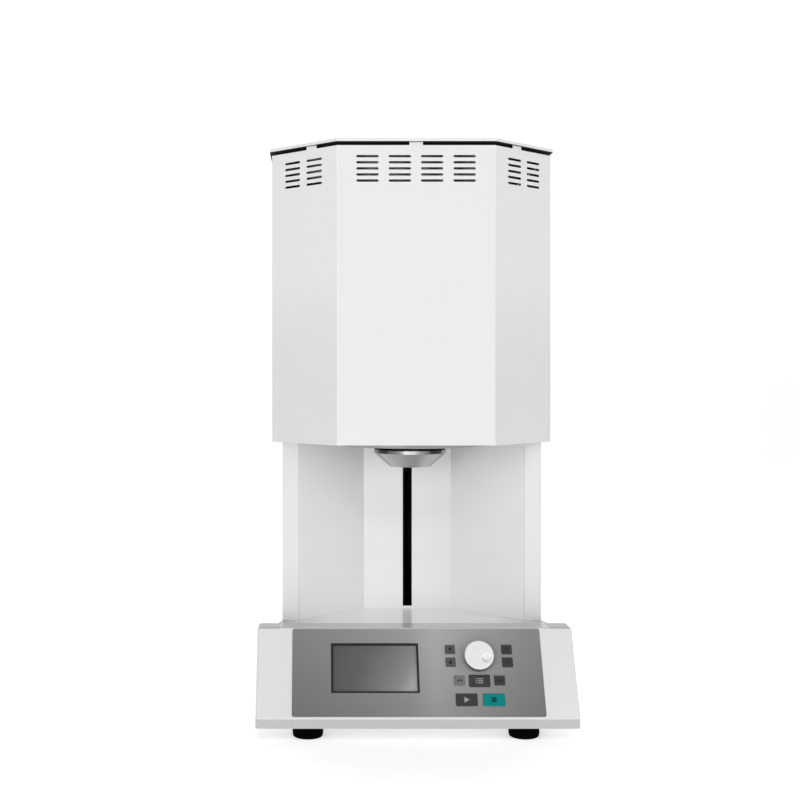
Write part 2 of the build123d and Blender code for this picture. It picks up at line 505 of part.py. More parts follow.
# rocker turns about X through ROCK_Y; drawn tipped to the off side
ROCK_Y, ROCK_DEG = BACK_Y - 7.0, 20.0
r_y = ROCK_Y
rock = prism_x([(r_y - 3.0, sz_ - 4.0), (r_y + 5.0, sz_ - 5.9), (r_y + 8.4, sz_ - 5.9), (r_y + 6.6, sz_),
                (r_y + 8.4, sz_ + 5.9), (r_y + 5.0, sz_ + 5.9), (r_y - 3.0, sz_ + 4.0)], sx_ - 10.7, sx_ + 10.7)
rock = Pos(0, r_y, sz_) * Rot(-ROCK_DEG / 2, 0, 0) * Pos(0, -r_y, -sz_) * rock
put("switch_rocker", rock)

fx, fz = FAN
ff = box(fx - 40, fx + 40, BACK_Y - t - 25, BACK_Y - t, fz - 40, fz + 40)
ff = fillet(ff.edges().filter_by(Axis.Y), 4.0)
ff -= cyl_y(fx, fz, BACK_Y - t - 24, BACK_Y, 38.0)
hub_seat = cyl_y(fx, fz, BACK_Y - t - 25, BACK_Y - t - 22, 17.0)
for a in range(4):
    ang = math.radians(45 + 90 * a)
    hub_seat += Pos(fx, BACK_Y - t - 23.5, fz) * Rot(0, math.degrees(ang), 0) * Pos(27, 0, 0) * Box(28, 3, 4)
ff -= cyl_y(fx, fz, BACK_Y - t - 26, BACK_Y - t - 20, 38.0)
ff += hub_seat
for dx in (-35.75, 35.75):
    for dz in (-35.75, 35.75):
        ff -= cyl_y(fx + dx, fz + dz, BACK_Y - 40, BACK_Y + 5, 2.0)
put("fan_frame", ff)
rotor = cyl_y(fx, fz, BACK_Y - t - 21.4, BACK_Y - t - 3.0, 16.0)
for a in range(7):
    blade = Pos(25.5, 0, 0) * Rot(35, 0, 0) * Box(21.5, 1.6, 16.0)
    rotor += Pos(fx, BACK_Y - t - 12.5, fz) * Rot(0, 360 / 7 * a, 0) * blade
put("fan_rotor", rotor)
guard = None
for r in (12.0, 21.0, 30.0, 38.5):
    loop = Pos(fx, BACK_Y + 1.6, fz) * Rot(90, 0, 0) * Torus(r, 1.2)
    guard = loop if guard is None else guard + loop
for a in range(4):
    guard += Pos(fx, BACK_Y + 2.9, fz) * Rot(0, 45 + 90 * a, 0) * Pos(31.3, 0, 0) * Rot(0, 90, 0) * Cylinder(1.1, 38.6)
for dx in (-35.75, 35.75):
    for dz in (-35.75, 35.75):
        guard += Pos(fx + dx, BACK_Y, fz + dz) * Rot(90, 0, 0) * (Pos(0, 0, -2.0) * (Cylinder(4.2, 4.0) - Cylinder(2.0, 6.0)))
put("fan_guard", guard)

# ---------------------------------------------------------------------------
# Feet and fasteners
# ---------------------------------------------------------------------------
feet, foot_screws = [], []
for x, y in foot_spots:
    foot = turned([(4.6, 3.0), (4.6, 0.0), (17.2, 0.0), (18.6, 0.9), (FOOT_R - 0.3, 3.0), (FOOT_R, 5.0),
                   (FOOT_R - 0.3, FOOT_H), (2.7, FOOT_H), (2.7, 8.0), (4.6, 8.0)], x, y)
    feet.append(foot)
    foot_screws.append(cyl(x, y, 4.5, 8.0, 4.4) + cyl(x, y, 8.0, FOOT_H + 2.0, 2.6) + cyl(x, y, FOOT_H + 2.0, FOOT_H + 5.0, 4.4))
put("rubber_feet", *feet)
put("foot_screws", *foot_screws)


def pan_screw_y(x, z):
    head = cyl_y(x, z, BACK_Y, BACK_Y + 2.0, 3.2)
    head = chamfer(edges_at(head, lambda e: e.center().Y > BACK_Y + 1.9), 0.8)
    head -= cyl_y(x, z, BACK_Y + 0.8, BACK_Y + 3, 1.2)
    return head + cyl_y(x, z, BACK_Y - 6.0, BACK_Y, 1.5)


lid_screws = []
for x, y in lid_screw_spots:
    s = cyl(x, y, LID_Z1 - 6.0, LID_Z1, 1.5) + cyl(x, y, LID_Z1, LID_Z1 + 1.2, 3.4)
    lid_screws.append(s)
put("cover_screws", *[pan_screw_y(x, z) for x, z in cover_screw_spots + house_screw_spots], *lid_screws)

# ---------------------------------------------------------------------------
os.makedirs("parts", exist_ok=True)
for old in os.listdir("parts"):
    if old.endswith(".step") and old[:-5] not in PARTS:
        os.remove(os.path.join("parts", old))
for name, shape in PARTS.items():
    export_step(shape, f"parts/{name}.step")
box_all = Compound(children=[s.moved(Location()) for s in PARTS.values()]).bounding_box()
print(len(PARTS), "nodes", box_all.min, box_all.max)
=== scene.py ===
import bpy
import bmesh
import json
import math
from mathutils import Vector, Matrix


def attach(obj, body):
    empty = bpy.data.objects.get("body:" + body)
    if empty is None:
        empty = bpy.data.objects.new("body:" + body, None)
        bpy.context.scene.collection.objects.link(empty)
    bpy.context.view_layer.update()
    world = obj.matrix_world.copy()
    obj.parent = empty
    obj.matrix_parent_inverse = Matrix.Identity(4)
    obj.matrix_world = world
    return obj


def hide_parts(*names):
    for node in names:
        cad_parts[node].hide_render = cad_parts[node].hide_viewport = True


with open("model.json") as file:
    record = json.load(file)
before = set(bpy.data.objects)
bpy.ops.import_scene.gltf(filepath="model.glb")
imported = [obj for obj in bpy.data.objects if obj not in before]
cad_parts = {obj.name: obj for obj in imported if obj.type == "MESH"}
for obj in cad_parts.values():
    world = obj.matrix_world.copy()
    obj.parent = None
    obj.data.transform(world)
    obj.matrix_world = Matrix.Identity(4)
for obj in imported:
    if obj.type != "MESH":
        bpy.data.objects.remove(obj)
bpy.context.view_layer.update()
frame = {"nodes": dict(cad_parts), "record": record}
scene = bpy.context.scene
NODES = frame["nodes"]
MM = 0.001

# ---------------------------------------------------------------------------
# Camera: level, straight on, shifted so the object sits as in a product shot
# ---------------------------------------------------------------------------
cam_data = bpy.data.cameras.new("camera")
cam_data.lens = 58.5
cam_data.sensor_width = 36.0
cam_data.shift_x = 0.1035
cam_data.shift_y = -0.0412
cam_data.clip_end = 50.0
camera = bpy.data.objects.new("camera", cam_data)
camera.location = (-0.125, -1.825, 0.467)
camera.rotation_euler = (math.radians(90), 0, 0)
scene.collection.objects.link(camera)
scene.camera = camera
scene.view_settings.view_transform = "Standard"
scene.view_settings.look = "None"


# ---------------------------------------------------------------------------
# Material helpers
# ---------------------------------------------------------------------------
class Mat:
    def __init__(self, name, rough=0.5, metal=0.0, color=(0.8, 0.8, 0.8), **kw):
        self.m = bpy.data.materials.new(name)
        self.m.use_nodes = True
        self.t = self.m.node_tree
        self.t.nodes.clear()
        self.out = self.n("ShaderNodeOutputMaterial")
        self.b = self.n("ShaderNodeBsdfPrincipled")
        self.link(self.b, "BSDF", self.out, "Surface")
        self.b.inputs["Base Color"].default_value = (*color, 1)
        self.b.inputs["Roughness"].default_value = rough
        self.b.inputs["Metallic"].default_value = metal
        for k, v in kw.items():
            self.b.inputs[k.replace("_", " ")].default_value = v
        self.coord = self.n("ShaderNodeTexCoord")

    def n(self, kind, **kw):
        node = self.t.nodes.new(kind)
        for k, v in kw.items():
            setattr(node, k, v)
        return node

    def link(self, a, ao, b, bi):
        self.t.links.new(a.outputs[ao], b.inputs[bi])

    def mapped(self, scale=(1, 1, 1), rot=(0, 0, 0), loc=(0, 0, 0)):
        mp = self.n("ShaderNodeMapping")
        mp.inputs["Scale"].default_value = scale
        mp.inputs["Rotation"].default_value = rot
        mp.inputs["Location"].default_value = loc
        self.link(self.coord, "Object", mp, "Vector")
        return mp

    def noise(self, scale, detail=3.0, rough=0.5, src=None, distort=0.0):
        nz = self.n("ShaderNodeTexNoise")
        nz.inputs["Scale"].default_value = scale
        nz.inputs["Detail"].default_value = detail
        nz.inputs["Roughness"].default_value = rough
        nz.inputs["Distortion"].default_value = distort
        if src is None:
            self.link(self.coord, "Object", nz, "Vector")
        else:
            self.link(src, 0, nz, "Vector")
        return nz

    def ramp(self, src, out, stops):
        r = self.n("ShaderNodeValToRGB")
        e = r.color_ramp.elements
        while len(e) < len(stops):
            e.new(0.5)
        for i, (p, c) in enumerate(stops):
            e[i].position = p
            e[i].color = (c, c, c, 1) if isinstance(c, (int, float)) else (*c, 1)
        self.link(src, out, r, "Fac")
        return r

    def spread(self, src, out, lo, hi, a=0.3, b=0.7):
        mr = self.n("ShaderNodeMapRange")
        mr.inputs["From Min"].default_value = a
        mr.inputs["From Max"].default_value = b
        mr.inputs["To Min"].default_value = lo
        mr.inputs["To Max"].default_value = hi
        self.link(src, out, mr, "Value")
        return mr

    def mix(self, fac, fo, c1, c2, mode="MIX"):
        mx = self.n("ShaderNodeMixRGB", blend_type=mode)
        if fac is None:
            mx.inputs[0].default_value = fo
        else:
            self.link(fac, fo, mx, 0)
        for i, c in ((1, c1), (2, c2)):
            if isinstance(c, tuple) and len(c) == 3 and not isinstance(c[0], bpy.types.Node):
                mx.inputs[i].default_value = (*c, 1)
            else:
                self.link(c[0], c[1], mx, i)
        return mx

    def math(self, op, a, ao, b=None, bo=0):
        mt = self.n("ShaderNodeMath", operation=op)
        if op == "MULTIPLY_ADD":
            mt.inputs[2].default_value = 0.5
        if isinstance(a, (int, float)):
            mt.inputs[0].default_value = a
        else:
            self.link(a, ao, mt, 0)
        if b is not None:
            if isinstance(b, (int, float)):
                mt.inputs[1].default_value = b
            else:
                self.link(b, bo, mt, 1)
        return mt

    def bump(self, src, out, strength, dist, after=None):
        bp = self.n("ShaderNodeBump")
        bp.inputs["Strength"].default_value = strength
        bp.inputs["Distance"].default_value = dist
        self.link(src, out, bp, "Height")
        if after is not None:
            self.link(after, "Normal", bp, "Normal")
        return bp

    def color(self, src, out="Color"):
        self.link(src, out, self.b, "Base Color")

    def rough(self, src, out="Result"):
        self.link(src, out, self.b, "Roughness")

    def normal(self, bp):
        self.link(bp, "Normal", self.b, "Normal")

    def soft_edges(self, radius):
        # rounded look of the sheet and moulded edges
        bev = self.n("ShaderNodeBevel", samples=4)
        bev.inputs["Radius"].default_value = radius
        return bev

    def xyz(self):
        sep = self.n("ShaderNodeSeparateXYZ")
        self.link(self.coord, "Object", sep, 0)
        return sep

    def step(self, src, out, lo, hi):
        # 0 below lo, 1 above hi (or the other way round when lo > hi)
        mr = self.n("ShaderNodeMapRange")
        mr.inputs["From Min"].default_value = min(lo, hi)
        mr.inputs["From Max"].default_value = max(lo, hi)
        mr.inputs["To Min"].default_value = 0.0 if lo < hi else 1.0
        mr.inputs["To Max"].default_value = 1.0 if lo < hi else 0.0
        self.link(src, out, mr, "Value")
        return mr

    def angle(self, sep, ax, ay):
        # 0..1 around a vertical axis, 0.5 at the front (-Y), rising to the right
        dx = self.math("SUBTRACT", sep, "X", ax)
        dy = self.math("SUBTRACT", ay, 0, sep, "Y")
        at = self.math("ARCTAN2", dx, 0, dy, 0)
        return self.math("MULTIPLY_ADD", at, 0, 1.0 / (2 * math.pi))


def white_paint(name, tone=0.83, gloss=0.30, grain=1.0, coat=0.35, shade=None, matt=None):
    m = Mat(name, gloss, 0.0, (tone, tone, tone))
    big = m.noise(5.0, 3, 0.55)
    fine = m.noise(260.0, 2, 0.5)
    col = m.mix(big, "Fac", (tone * 0.988, tone * 0.988, tone * 0.985), (tone, tone, tone * 1.0))
    speck = m.noise(1400.0, 2, 0.6)
    sp = m.ramp(speck, "Fac", [(0.14, 0.975), (0.24, 1.0)])
    col2 = m.mix(None, 0.5, (col, "Color"), (sp, "Color"), "MULTIPLY")
    if shade is not None:
        col2 = shade(m, col2)
    m.color(col2)
    rg = m.spread(fine, "Fac", gloss - 0.01, gloss + 0.03)
    if matt is not None:
        # dull inside faces: roughness rises to 1 where the mask is 0
        dull = m.math("MULTIPLY", m.math("SUBTRACT", 1.0, 0, matt(m), "Result"), 0, 0.7)
        rg2 = m.math("ADD", rg, "Result", dull, 0)
        m.link(rg2, 0, m.b, "Roughness")
    else:
        m.rough(rg)
    peel = m.noise(620.0, 2, 0.45)
    waves = m.noise(9.0, 2, 0.4)
    b1 = m.bump(waves, "Fac", 0.03, 0.0006, m.soft_edges(0.0006))
    b2 = m.bump(peel, "Fac", 0.045 * grain, 0.00010, b1)
    m.normal(b2)
    m.b.inputs["Coat Weight"].default_value = coat
    m.b.inputs["Coat Roughness"].default_value = 0.10
    return m.m


def shell_shade(m, col):
    # outside white; the inside faces are painted near black, painted shade so the vents read dark
    p = m.xyz()
    ax = m.math("ABSOLUTE", p, "X")
    d1 = m.math("SUBTRACT", ax, 0, 0.185)
    d2 = m.math("SUBTRACT", -0.183, 0, p, "Y")
    d3 = m.math("MULTIPLY", m.math("SUBTRACT", m.math("SUBTRACT", ax, 0, p, "Y"), 0, 0.283), 0, 0.7071)
    d = m.math("MAXIMUM", m.math("MAXIMUM", d1, 0, d2, 0), 0, d3, 0)
    out = m.step(d, 0, -0.0011, -0.0005)
    # painted light and shade on the angled corners: a touch brighter above and greyer below
    corner = m.step(ax, 0, 0.0985, 0.1010)
    painted_light_by_height = m.ramp(m.spread(p, "Z", 0.0, 1.0, 0.37, 0.75), "Result",
                  [(0.0, (0.775, 0.775, 0.775)), (0.15, (0.78, 0.78, 0.78)), (0.29, (0.795, 0.795, 0.795)),
                   (0.42, (0.825, 0.825, 0.825)), (0.55, (0.868, 0.868, 0.868)), (1.0, (0.88, 0.88, 0.88))])
    c1 = m.mix(None, 1.0, (painted_light_by_height, "Color"), (1.2, 1.2, 1.2), "MULTIPLY")
    c2 = m.mix(None, 1.0, (col, "Color"), (c1, "Color"), "MULTIPLY")
    c3 = m.mix(corner, "Result", (col, "Color"), (c2, "Color"))
    return m.mix(out, "Result", (0.010, 0.010, 0.010), (c3, "Color"))


def rear_shade(m, col):
    # outside white; the inside face is painted near black, painted shade so the vents read dark
    p = m.xyz()
    out = m.step(p, "Y", 0.2098, 0.2104)
    return m.mix(out, "Result", (0.010, 0.010, 0.010), (col, "Color"))


def console_shade(m, col):
    # painted shade: the folded lip under the control face is greyer; a faint tone change darkens the front strip of the
    # deck
    p = m.xyz()
    low = m.step(p, "Z", 0.0312, 0.0296)
    c1 = m.mix(low, "Result", (col, "Color"), (0.50, 0.50, 0.50))
    top = m.step(p, "Z", 0.1313, 0.1323)
    # painted light: the deck inside the loading bay is brighter than the front strip, greying towards its sides
    bay = m.step(p, "Y", -0.1274, -0.1266)
    across = m.math("ABSOLUTE", p, "X")
    tone = m.ramp(m.spread(across, 0, 0.0, 1.0, 0.0, 0.175), "Result",
                  [(0.0, (0.97, 0.97, 0.97)), (0.62, (0.96, 0.96, 0.96)), (0.86, (0.76, 0.76, 0.76)), (1.0, (0.50, 0.50, 0.50))])
    c2 = m.mix(m.math("MULTIPLY", top, 0, bay, 0), 0, (c1, "Color"), (tone, "Color"))
    # painted shade: the front strip of the deck is darker
    front = m.step(p, "Y", -0.1266, -0.1274)
    f = m.math("MULTIPLY", m.math("MULTIPLY", top, 0, front, 0), 0, 0.75)
    c3 = m.mix(f, 0, (c2, "Color"), (0.55, 0.55, 0.55))
    # painted shade: the deck's outer shoulders are darkened
    side = m.step(m.math("ABSOLUTE", p, "X"), 0, 0.1715, 0.1735)
    g = m.math("MULTIPLY", m.math("MULTIPLY", top, 0, side, 0), 0, 0.95)
    return m.mix(g, 0, (c3, "Color"), (0.33, 0.33, 0.33))


def column_shade(m, col):
    # painted shade: the two narrow outer strips are greyer than the recess walls
    p = m.xyz()
    out = m.step(p, "Y", -0.1045, -0.1065)
    wing = m.step(m.math("ABSOLUTE", p, "X"), 0, 0.0600, 0.0612)
    # painted light and shade by height: the recess walls are lighter low down and darker part way up, the back wall
    # lighter again near the top
    painted_light_by_height = m.ramp(m.spread(p, "Z", 0.0, 1.0, 0.13, 0.37), "Result",
                  [(0.0, (0.88, 0.88, 0.88)), (0.10, (0.875, 0.875, 0.875)), (0.33, (0.79, 0.79, 0.79)),
                   (0.56, (0.765, 0.765, 0.765)), (0.79, (0.785, 0.785, 0.785)), (1.0, (0.79, 0.79, 0.79))])
    back_wall_painted_light = m.ramp(m.spread(p, "Z", 0.0, 1.0, 0.13, 0.37), "Result",
                 [(0.0, (0.935, 0.935, 0.935)), (0.10, (0.93, 0.93, 0.93)), (0.33, (0.82, 0.82, 0.82)),
                  (0.56, (0.805, 0.805, 0.805)), (0.79, (0.93, 0.93, 0.93)), (1.0, (0.94, 0.94, 0.94))])
    c0 = m.mix(None, 0.9, (col, "Color"), (back_wall_painted_light, "Color"))
    c1 = m.mix(wing, "Result", (c0, "Color"), (painted_light_by_height, "Color"))
    return m.mix(out, "Result", (c1, "Color"), (0.755, 0.755, 0.755))


def lid_outside(m):
    return m.step(m.xyz(), "Z", 0.7519, 0.7521)


def lid_shade(m, col):
    # painted shade: the lid below its top face (underside, ring and skirt) is painted near black, so the gap under the
    # lid reads dark
    p = m.xyz()
    painted_shade_under = m.step(p, "Z", 0.7521, 0.7519)
    return m.mix(painted_shade_under, "Result", (col, "Color"), (0.004, 0.004, 0.004))


def metal(name, color, rough, brush=None, scale=700.0, stain=0.06, axis=None, painted_reflections=None, metallic=1.0):
    m = Mat(name, rough, metallic, color)
    big = m.noise(14.0, 4, 0.6)
    dark = tuple(c * (1 - stain * 2) for c in color)
    col = m.mix(big, "Fac", dark, color)
    # painted reflections, where given, are laid over the colour
    if painted_reflections is not None:
        col = painted_reflections(m, col)
    m.color(col)
    soft = m.soft_edges(0.0003)
    if brush == "turned":
        # fine rings about the vertical axis through `axis`
        mp = m.mapped(loc=(-axis[0], -axis[1], 0))
        sep = m.n("ShaderNodeSeparateXYZ")
        m.link(mp, 0, sep, 0)
        xx = m.math("MULTIPLY", sep, "X", sep, "X")
        yy = m.math("MULTIPLY", sep, "Y", sep, "Y")
        rr = m.math("SQRT", m.math("ADD", xx, 0, yy, 0), 0)
        zz = m.math("ADD", rr, 0, m.math("MULTIPLY", sep, "Z", 0.8), 0)
        cmb = m.n("ShaderNodeCombineXYZ")
        m.link(zz, 0, cmb, 0)
        nz = m.noise(2600.0, 3, 0.7, cmb)
        b = m.bump(nz, "Fac", 0.22, 0.00008, soft)
        m.normal(b)
        rg = m.spread(nz, "Fac", rough - 0.06, rough + 0.08)
        m.rough(rg)
    elif brush:
        mp = m.mapped(scale=brush)
        nz = m.noise(scale, 3, 0.65, mp)
        b = m.bump(nz, "Fac", 0.2, 0.00008, soft)
        m.normal(b)
        rg = m.spread(nz, "Fac", rough - 0.06, rough + 0.08)
        m.rough(rg)
    else:
        nz = m.noise(scale, 3, 0.6)
        b = m.bump(nz, "Fac", 0.16, 0.00008, soft)
        m.normal(b)
        nz2 = m.noise(40.0, 3, 0.6)
        rg = m.spread(nz2, "Fac", rough - 0.05, rough + 0.08)
        m.rough(rg)
    return m.m


def plastic(name, color, rough, grain=900.0, depth=0.15, vary=0.06, coat=0.0, spec=0.5, shade=None):
    m = Mat(name, rough, 0.0, color)
    m.b.inputs["Specular IOR Level"].default_value = spec
    big = m.noise(22.0, 3, 0.55)
    dark = tuple(c * (1 - vary * 2) for c in color)
    col = m.mix(big, "Fac", dark, color)
    if shade is not None:
        col = shade(m, col)
    m.color(col)
    nz = m.noise(grain, 2, 0.5)
    m.normal(m.bump(nz, "Fac", depth, 0.00006, m.soft_edges(0.0004)))
    n2 = m.noise(60.0, 3, 0.6)
    m.rough(m.spread(n2, "Fac", rough - 0.05, rough + 0.07))
    if coat:
        m.b.inputs["Coat Weight"].default_value = coat
        m.b.inputs["Coat Roughness"].default_value = 0.08
    return m.m


def fibre(name, color, dark):
    m = Mat(name, 0.95, 0.0, color)
    a = m.noise(38.0, 6, 0.65)
    s = m.mapped(scale=(1, 1, 5))
    b_ = m.noise(330.0, 4, 0.7, s)
    c1 = m.mix(a, "Fac", dark, color)
    sp = m.ramp(b_, "Fac", [(0.30, 0.80), (0.52, 1.0)])
    m.color(m.mix(None, 0.7, (c1, "Color"), (sp, "Color"), "MULTIPLY"))
    b1 = m.bump(a, "Fac", 0.35, 0.0015)
    m.normal(m.bump(b_, "Fac", 0.5, 0.0004, b1))
    m.rough(m.spread(b_, "Fac", 0.88, 1.0))
    return m.m


def rubber(name):
    m = Mat(name, 0.75, 0.0, (0.001, 0.001, 0.001))
    m.b.inputs["Specular IOR Level"].default_value = 0.02
    nz = m.noise(30.0, 4, 0.6)
    m.color(m.mix(nz, "Fac", (0.0006, 0.0006, 0.0006), (0.0020, 0.0020, 0.0020)))
    g = m.noise(1500.0, 2, 0.6)
    m.normal(m.bump(g, "Fac", 0.3, 0.0001))
    m.rough(m.spread(nz, "Fac", 0.65, 0.85))
    return m.m


def knob_shade(m, col):
    # white cap; below it the knob's side is dark grey
    n = face_height(m)
    c1 = m.mix(m.step(n, 0, 0.0094, 0.0097), "Result", (0.055, 0.055, 0.057), (col, "Color"))
    # finger dimple: painted shade, a soft grey line on the low left side of its wall
    p = m.xyz()
    du = m.math("SUBTRACT", p, "X", (79.3 + 8.9) * MM)
    vz = m.math("MULTIPLY", m.math("SUBTRACT", p, "Z", FACE_O.z), 0, FACE_V.z)
    vy = m.math("MULTIPLY", m.math("SUBTRACT", p, "Y", FACE_O.y), 0, FACE_V.y)
    dv = m.math("SUBTRACT", m.math("ADD", vz, 0, vy, 0), 0, (19.5 - 3.9) * MM)
    r = m.math("SQRT", m.math("ADD", m.math("MULTIPLY", du, 0, du, 0), 0, m.math("MULTIPLY", dv, 0, dv, 0), 0), 0)
    dimple_painted_shade = m.math("MULTIPLY", m.step(r, 0, 0.0039, 0.0047), 0, m.step(r, 0, 0.0057, 0.0050), 0)
    low = m.math("SUBTRACT", m.math("MULTIPLY", du, 0, -110.0), 0, m.math("MULTIPLY", dv, 0, 110.0), 0)
    side = m.spread(low, 0, 0.10, 0.75)
    g = m.math("MULTIPLY", m.math("MULTIPLY", dimple_painted_shade, 0, side, "Result"), 0, m.step(n, 0, 0.0094, 0.0097), 0)
    return m.mix(g, 0, (c1, "Color"), (0.30, 0.30, 0.30))


def rim_painted_reflections(m, col):
    # painted reflections of turned metal: light and dark streaks round the rim, softer ones on the cone below it
    p = m.xyz()
    a = m.angle(p, 0.0, -0.075)
    rim = m.ramp(a, 0, [(0.0, 0.50), (0.14, 0.16), (0.305, 0.36), (0.333, 0.03), (0.378, 0.01), (0.395, 0.16), (0.440, 0.20),
                        (0.456, 0.38), (0.468, 1.0), (0.508, 1.0), (0.520, 0.62), (0.535, 0.40), (0.552, 0.27), (0.572, 0.16),
                        (0.586, 0.01), (0.648, 0.015), (0.666, 0.50), (0.80, 0.44), (0.90, 0.16), (1.0, 0.50)])
    cone = m.ramp(a, 0, [(0.0, 0.36), (0.2, 0.22), (0.30, 0.20), (0.34, 0.53), (0.42, 0.40), (0.50, 0.29), (0.53, 0.28),
                         (0.58, 0.48), (0.655, 0.46), (0.69, 0.12), (0.8, 0.24), (1.0, 0.36)])
    up = m.step(p, "Z", 0.3519, 0.3523)
    c = m.mix(up, "Result", (cone, "Color"), (rim, "Color"))
    return m.mix(None, 0.96, (col, "Color"), (c, "Color"))


SL = math.hypot(58.0, 101.8)
NY, NZ = -101.8 / SL, 58.0 / SL
FACE_O = Vector((0.0, -0.186, 0.0817))
FACE_U = Vector((1, 0, 0))
FACE_V = Vector((0, NZ, -NY))
FACE_N = Vector((0, NY, NZ))


def face_height(m):
    # height over the control face, in metres
    p = m.xyz()
    hy = m.math("MULTIPLY", m.math("SUBTRACT", p, "Y", FACE_O.y), 0, NY)
    hz = m.math("MULTIPLY", m.math("SUBTRACT", p, "Z", FACE_O.z), 0, NZ)
    return m.math("ADD", hy, 0, hz, 0)


def panel_foil(name):
    m = Mat(name, 0.42, 0.35, (0.30, 0.30, 0.30))
    mp = m.mapped(scale=(1.0, 26.0, 26.0))
    nz = m.noise(90.0, 4, 0.7, mp)
    big = m.noise(3.0, 2, 0.5)
    c = m.mix(nz, "Fac", (0.285, 0.285, 0.283), (0.33, 0.33, 0.328))
    # painted sheen on the satin foil: a soft light band beyond the screen, darker towards both ends and lighter towards
    # the top
    p = m.xyz()
    painted_sheen_across = m.ramp(m.spread(p, "X", 0.0, 1.0, -0.158, 0.160), "Result",
                  [(0.0, 0.66), (0.12, 0.72), (0.30, 0.84), (0.46, 0.98), (0.54, 1.17), (0.57, 1.25), (0.62, 1.19), (0.78, 0.97),
                   (0.90, 0.80), (1.0, 0.70)])
    painted_light_by_height = m.spread(p, "Z", 0.865, 1.24, 0.035, 0.130)
    c2 = m.mix(None, 1.0, (c, "Color"), (painted_sheen_across, "Color"), "MULTIPLY")
    c3 = m.mix(None, 1.0, (c2, "Color"), (painted_light_by_height, "Result"), "MULTIPLY")
    m.color(c3)
    g = m.noise(1900.0, 2, 0.5)
    b1 = m.bump(nz, "Fac", 0.06, 0.00005, m.soft_edges(0.0004))
    m.normal(m.bump(g, "Fac", 0.08, 0.00004, b1))
    m.rough(m.spread(big, "Fac", 0.38, 0.48))
    return m.m


def screen_mat(name):
    # unlit display behind glass with a painted sheen: dark on the upper left, a broad soft sheen growing to the lower
    # right
    m = Mat(name, 0.16, 0.0, (0.16, 0.16, 0.16))
    p = m.xyz()
    u = m.spread(p, "X", 0.0, 1.0, -0.1065, 0.002)
    w = m.spread(p, "Z", 0.0, 1.0, 0.110, 0.062)
    diag = m.math("ADD", m.math("MULTIPLY", u, "Result", 0.78), 0, m.math("MULTIPLY", w, "Result", 0.10), 0)
    both = m.math("MULTIPLY", u, "Result", w, "Result")
    t = m.math("ADD", diag, 0, m.math("MULTIPLY", both, 0, 0.22), 0)
    cloud = m.noise(16.0, 3, 0.5)
    t2 = m.math("ADD", t, 0, m.math("MULTIPLY", m.math("SUBTRACT", cloud, "Fac", 0.5), 0, 0.16), 0)
    c = m.ramp(t2, 0, [(0.0, (0.100, 0.101, 0.102)), (0.35, (0.132, 0.133, 0.134)), (0.62, (0.200, 0.201, 0.202)),
                       (0.85, (0.280, 0.282, 0.283)), (1.0, (0.42, 0.42, 0.42))])
    m.color(c)
    sm = m.noise(18.0, 4, 0.6)
    m.rough(m.spread(sm, "Fac", 0.12, 0.2))
    m.b.inputs["Coat Weight"].default_value = 0.4
    m.b.inputs["Coat Roughness"].default_value = 0.03
    return m.m


MATS = {
    "white_paint": white_paint("white_paint"),
    "zinc_steel": metal("zinc_steel", (0.58, 0.59, 0.60), 0.38, None, 300.0, 0.10),
    "flange_steel": metal("flange_steel", (0.40, 0.40, 0.40), 0.45, "turned", 700, 0.08, (0, -0.075), None, 0.5),
    "ceramic_fibre": fibre("ceramic_fibre", (0.86, 0.84, 0.79), (0.78, 0.75, 0.69)),
    "element_rod": plastic("element_rod", (0.07, 0.07, 0.075), 0.28, 500.0, 0.2, 0.2, 0.3),
    "aluminium": metal("aluminium", (0.74, 0.74, 0.75), 0.32, (1, 1, 18), 300.0, 0.05),
    "probe_ceramic": plastic("probe_ceramic", (0.78, 0.75, 0.70), 0.7, 800.0, 0.3),
    # black seal ring on the table rim: a real gasket, whose black also stands for painted shade in the gap under the
    # furnace mouth
    "seal_black": rubber("seal_black"),
    # turned table with painted reflections on its rim and cone
    "table_metal": metal("table_metal", (0.46, 0.46, 0.47), 0.32, "turned", 700, 0.05, (0, -0.075), rim_painted_reflections, 0.35),
    "tray_ceramic": fibre("tray_ceramic", (0.88, 0.86, 0.82), (0.84, 0.81, 0.75)),
    "black_metal": plastic("black_metal", (0.012, 0.012, 0.013), 0.5, 1200.0, 0.2),
    "bronze": metal("bronze", (0.50, 0.33, 0.14), 0.35, "turned", 700, 0.08, (0, 0.045)),
    "polished_steel": metal("polished_steel", (0.30, 0.30, 0.31), 0.22, (1, 1, 14), 500.0, 0.05),
    "panel_grey": panel_foil("panel_grey"),
    "screen_frame": plastic("screen_frame", (0.02, 0.02, 0.022), 0.3, spec=0.3),
    "screen_glass": screen_mat("screen_glass"),
    "key_dark": plastic("key_dark", (0.045, 0.045, 0.047), 0.55, 1100.0, 0.25, spec=0.3),
    "key_mid": plastic("key_mid", (0.098, 0.098, 0.100), 0.5, 1100.0, 0.25, spec=0.3),
    "key_grey": plastic("key_grey", (0.19, 0.19, 0.192), 0.5, 1100.0, 0.25, spec=0.3),
    "key_teal": plastic("key_teal", (0.0, 0.262, 0.252), 0.5, 1100.0, 0.25, spec=0.12),
    "knob_white": plastic("knob_white", (0.91, 0.91, 0.91), 0.28, 1000.0, 0.06, 0.01, 0.3, shade=knob_shade),
    "black_plastic": plastic("black_plastic", (0.015, 0.015, 0.016), 0.45, 900.0, 0.25),
    "board_green": plastic("board_green", (0.02, 0.14, 0.06), 0.35, 300.0, 0.2, 0.15),
    "core_steel": metal("core_steel", (0.12, 0.115, 0.11), 0.5, (1, 60, 1), 40.0, 0.1),
    "black_rubber": rubber("black_rubber"),
}
for entry in frame["record"]["subparts"]:
    ob = NODES[entry["node"]]
    ob.data.materials.clear()
    ob.data.materials.append(MATS[entry["material_slot"]])

PINS = ((-7, -4.5), (7, -4.5), (0, -1.5))


